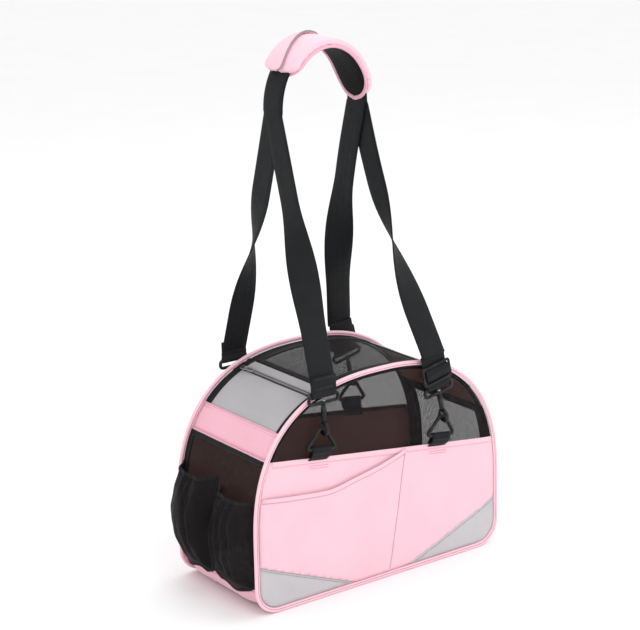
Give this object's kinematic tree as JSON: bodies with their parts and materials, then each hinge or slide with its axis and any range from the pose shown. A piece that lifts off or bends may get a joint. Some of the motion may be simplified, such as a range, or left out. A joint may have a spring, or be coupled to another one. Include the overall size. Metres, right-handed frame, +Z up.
{
  "type": "pet carrier bag",
  "caption": "Soft-sided pet carrier with mesh windows, zipped roof and end doors, mesh end pockets and clip-on webbing straps joined by a wrap pad.",
  "frame": {"origin": "middle of the flat base, on the surface that the bag stands on", "axes": "+Z up through the roof and the raised straps; X along the bag, with the pocketed end at -X and the end door at +X; the front side with the slip pocket faces -Y"},
  "size_m": [0.5056, 0.2608, 0.854],
  "materials": {
    "pink_fabric": "woven polyester twill, pale pink, faint sheen",
    "grey_fabric": "woven polyester, light warm grey",
    "black_mesh": "open black mesh netting, see-through",
    "webbing": "ribbed black polypropylene webbing",
    "binding": "black tape and non-slip lining",
    "black_plastic": "moulded black acetal, satin",
    "steel": "plain bright metal",
    "board": "covered stiff board",
    "fleece": "short pile fleece, off-white"
  },
  "bodies": {
    "bag": {"base_board": "board", "bottom_panel": "grey_fabric", "fleece_bed": "fleece", "front_slip_pocket": "pink_fabric", "front_mesh_window": "black_mesh", "front_lower_panel": "pink_fabric", "front_corner_patch_left": "grey_fabric", "front_corner_patch_right": "grey_fabric", "front_piping": "pink_fabric", "front_hoop_wire": "steel", "front_tab_left": "webbing", "front_tab_right": "webbing", "rear_mesh_window": "black_mesh", "rear_lower_panel": "pink_fabric", "rear_corner_patch_left": "grey_fabric", "rear_corner_patch_right": "grey_fabric", "rear_piping": "pink_fabric", "rear_hoop_wire": "steel", "rear_tab_left": "webbing", "rear_tab_right": "webbing", "left_lower_band": "pink_fabric", "left_end_mesh": "black_mesh", "left_upper_band": "pink_fabric", "left_top_panel": "grey_fabric", "right_lower_band": "pink_fabric", "right_end_mesh": "black_mesh", "right_upper_band": "pink_fabric", "right_top_panel": "grey_fabric", "left_pocket_front": "black_mesh", "left_pocket_rear": "black_mesh", "roof_zip_tape_front": "binding", "roof_zip_tape_rear": "binding"},
    "front_strap_loop": {"front_strap": "webbing", "front_ring_left": "black_plastic", "front_ring_right": "black_plastic", "front_hook_left": "black_plastic", "front_hook_right": "black_plastic", "front_eye_left": "black_plastic", "front_eye_right": "black_plastic", "pad_lining": "binding", "pad_cover": "pink_fabric"},
    "front_gate_left": {"front_hook_left_gate": "black_plastic"},
    "front_gate_right": {"front_hook_right_gate": "black_plastic"},
    "front_slide_adjuster": {"front_adjuster": "black_plastic"},
    "rear_strap_loop": {"rear_strap": "webbing", "rear_ring_left": "black_plastic", "rear_ring_right": "black_plastic", "rear_hook_left": "black_plastic", "rear_hook_right": "black_plastic", "rear_eye_left": "black_plastic", "rear_eye_right": "black_plastic"},
    "rear_gate_left": {"rear_hook_left_gate": "black_plastic"},
    "rear_gate_right": {"rear_hook_right_gate": "black_plastic"},
    "rear_slide_adjuster": {"rear_adjuster": "black_plastic"},
    "roof_door": {"roof_door_mesh": "black_mesh", "roof_door_lead_strip": "grey_fabric"},
    "end_door": {"right_end_door": "black_mesh"},
    "zip_slider": {"roof_zip_slider": "steel"},
    "zip_pull": {"roof_zip_pull": "steel"}
  },
  "joints": [
    {"name": "front_strap_swing", "type": "hinge", "parent": "bag", "child": "front_strap_loop", "pos_m": [0, -0.1165, 0.2335], "axis": [0.9915, 0, -0.1299], "range_deg": [0, 110]},
    {"name": "rear_strap_swing", "type": "hinge", "parent": "bag", "child": "rear_strap_loop", "pos_m": [0, 0.1165, 0.2335], "axis": [0.9915, 0, -0.1299], "range_deg": [-110, 0]},
    {"name": "roof_door_open", "type": "hinge", "parent": "bag", "child": "roof_door", "pos_m": [0.11574, 0, 0.32775], "axis": [0, 1, 0], "range_deg": [0, 110]},
    {"name": "end_door_open", "type": "hinge", "parent": "bag", "child": "end_door", "pos_m": [0.2335, 0, 0.0508], "axis": [0, 1, 0], "range_deg": [0, 95]},
    {"name": "front_gate_left_open", "type": "hinge", "parent": "front_strap_loop", "child": "front_gate_left", "pos_m": [-0.117, -0.115, 0.29064], "axis": [1, 0, 0], "range_deg": [-20, 0], "stiffness_Nm_per_rad": 0.002},
    {"name": "front_gate_right_open", "type": "hinge", "parent": "front_strap_loop", "child": "front_gate_right", "pos_m": [0.11481, -0.115, 0.25976], "axis": [0.9781, 0, 0.2079], "range_deg": [-20, 0], "stiffness_Nm_per_rad": 0.002},
    {"name": "front_adjuster_slide", "type": "slide", "parent": "front_strap_loop", "child": "front_slide_adjuster", "axis": [-0.2079, 0, 0.9781], "range_m": [0, 0.008]},
    {"name": "rear_gate_left_open", "type": "hinge", "parent": "rear_strap_loop", "child": "rear_gate_left", "pos_m": [-0.117, 0.115, 0.29064], "axis": [1, 0, 0], "range_deg": [0, 20], "stiffness_Nm_per_rad": 0.002},
    {"name": "rear_gate_right_open", "type": "hinge", "parent": "rear_strap_loop", "child": "rear_gate_right", "pos_m": [0.11481, 0.115, 0.25976], "axis": [0.9781, 0, 0.2079], "range_deg": [0, 20], "stiffness_Nm_per_rad": 0.002},
    {"name": "rear_adjuster_slide", "type": "slide", "parent": "rear_strap_loop", "child": "rear_slide_adjuster", "axis": [-0.2079, 0, 0.9781], "range_m": [0, 0.008]},
    {"name": "zip_slider_run", "type": "slide", "parent": "bag", "child": "zip_slider", "axis": [0, -1, 0], "range_m": [0, 0.158]},
    {"name": "zip_pull_flip", "type": "hinge", "parent": "zip_slider", "child": "zip_pull", "pos_m": [-0.1237, 0.0795, 0.3313], "axis": [0.9272, 0, 0.3746], "range_deg": [-150, 0]}
  ],
  "couplings": [
    {"joint": "rear_strap_swing", "follows": "front_strap_swing", "ratio": -1},
    {"joint": "roof_door_open", "follows": "front_strap_swing", "ratio": 1}
  ]
}
